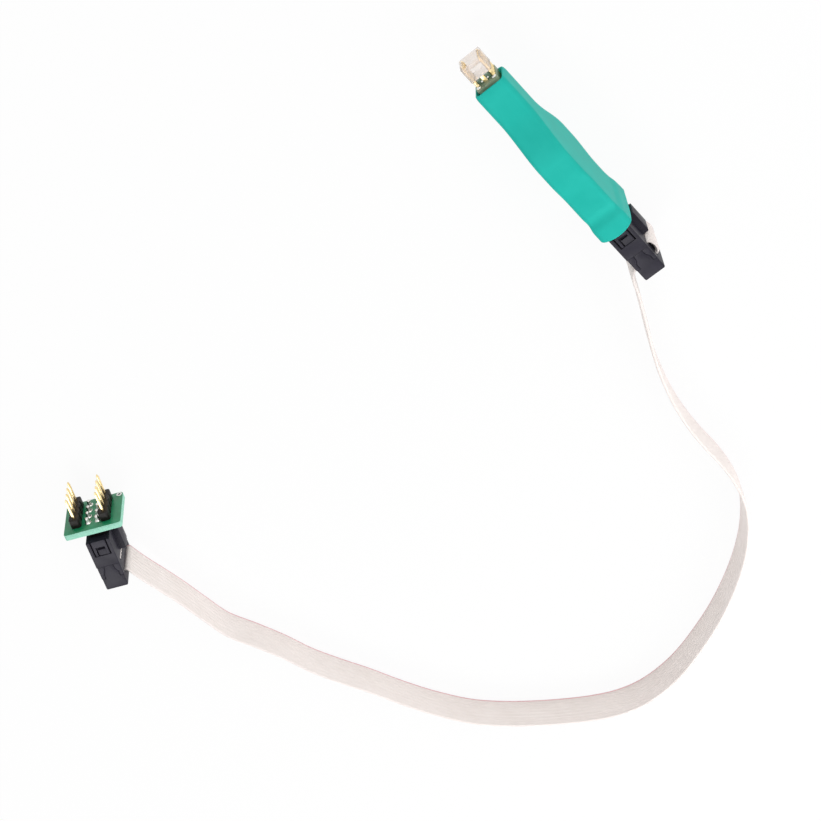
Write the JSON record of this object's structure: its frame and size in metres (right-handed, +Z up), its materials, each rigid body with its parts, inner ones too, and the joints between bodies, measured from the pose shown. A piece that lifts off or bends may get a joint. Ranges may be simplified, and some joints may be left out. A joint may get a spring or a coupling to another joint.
{
  "type": "chip programming probe",
  "caption": "Hand-held chip programming probe with a sprung contact nose, a ribbon lead with crimped sockets and a plug-in adapter board with two rows of pins.",
  "frame": {"origin": "under the middle of the probe, on the surface that it lies on", "axes": "+X along the grip towards its contact nose, +Z up, +Y across the grip"},
  "size_m": [0.1776, 0.164, 0.0188],
  "materials": {
    "teal_plastic": "moulded, satin gloss",
    "clear_plastic": "clear moulded plastic, polished",
    "green_board": "solder-masked fibreglass board",
    "olive_board": "bare fibreglass board",
    "solder": "bright solder",
    "gold": "gold plated",
    "spring_steel": "drawn wire",
    "black_plastic": "moulded, satin",
    "ribbon_vinyl": "soft ribbed vinyl"
  },
  "bodies": {
    "probe": {"grip_shell_left": "teal_plastic", "grip_shell_right": "teal_plastic", "nose_block": "clear_plastic", "nose_plate": "green_board", "nose_base": "olive_board", "nose_solder": "solder", "contact_barrels": "gold", "tail_board": "green_board", "probe_board": "green_board", "probe_header": "black_plastic", "probe_header_pins": "gold", "probe_header_solder": "solder", "plunger_spring_1": "spring_steel", "plunger_spring_2": "spring_steel", "plunger_spring_3": "spring_steel", "plunger_spring_4": "spring_steel", "plunger_spring_5": "spring_steel", "plunger_spring_6": "spring_steel", "plunger_spring_7": "spring_steel", "plunger_spring_8": "spring_steel"},
    "lead": {"probe_socket_body": "black_plastic", "probe_socket_contacts": "gold", "probe_socket_cover": "black_plastic", "probe_strain_relief": "black_plastic", "probe_ribbon_fold": "ribbon_vinyl", "ribbon": "ribbon_vinyl", "adapter_ribbon_fold": "ribbon_vinyl", "adapter_socket_body": "black_plastic", "adapter_socket_contacts": "gold", "adapter_socket_cover": "black_plastic", "adapter_strain_relief": "black_plastic"},
    "adapter": {"adapter_board": "green_board", "adapter_header": "black_plastic", "adapter_header_pins": "gold", "adapter_header_solder": "solder", "adapter_strip_left": "black_plastic", "adapter_strip_right": "black_plastic", "adapter_pins_left": "gold", "adapter_pins_right": "gold", "adapter_strip_solder": "solder"},
    "contact_1": {"plunger_1": "gold"},
    "contact_2": {"plunger_2": "gold"},
    "contact_3": {"plunger_3": "gold"},
    "contact_4": {"plunger_4": "gold"},
    "contact_5": {"plunger_5": "gold"},
    "contact_6": {"plunger_6": "gold"},
    "contact_7": {"plunger_7": "gold"},
    "contact_8": {"plunger_8": "gold"}
  },
  "joints": [
    {"name": "lead_unplug", "type": "slide", "parent": "probe", "child": "lead", "axis": [-1, 0, 0], "range_m": [0, 0.008]},
    {"name": "adapter_unplug", "type": "slide", "parent": "lead", "child": "adapter", "axis": [0.91, -0.4147, 0], "range_m": [0, 0.008]},
    {"name": "contact_press_1", "type": "slide", "parent": "probe", "child": "contact_1", "axis": [-1, 0, 0], "range_m": [0, 0.0015], "stiffness_N_per_m": 500, "deforming": ["plunger_spring_1"]},
    {"name": "contact_press_2", "type": "slide", "parent": "probe", "child": "contact_2", "axis": [-1, 0, 0], "range_m": [0, 0.0015], "stiffness_N_per_m": 500, "deforming": ["plunger_spring_2"]},
    {"name": "contact_press_3", "type": "slide", "parent": "probe", "child": "contact_3", "axis": [-1, 0, 0], "range_m": [0, 0.0015], "stiffness_N_per_m": 500, "deforming": ["plunger_spring_3"]},
    {"name": "contact_press_4", "type": "slide", "parent": "probe", "child": "contact_4", "axis": [-1, 0, 0], "range_m": [0, 0.0015], "stiffness_N_per_m": 500, "deforming": ["plunger_spring_4"]},
    {"name": "contact_press_5", "type": "slide", "parent": "probe", "child": "contact_5", "axis": [-1, 0, 0], "range_m": [0, 0.0015], "stiffness_N_per_m": 500, "deforming": ["plunger_spring_5"]},
    {"name": "contact_press_6", "type": "slide", "parent": "probe", "child": "contact_6", "axis": [-1, 0, 0], "range_m": [0, 0.0015], "stiffness_N_per_m": 500, "deforming": ["plunger_spring_6"]},
    {"name": "contact_press_7", "type": "slide", "parent": "probe", "child": "contact_7", "axis": [-1, 0, 0], "range_m": [0, 0.0015], "stiffness_N_per_m": 500, "deforming": ["plunger_spring_7"]},
    {"name": "contact_press_8", "type": "slide", "parent": "probe", "child": "contact_8", "axis": [-1, 0, 0], "range_m": [0, 0.0015], "stiffness_N_per_m": 500, "deforming": ["plunger_spring_8"]}
  ]
}
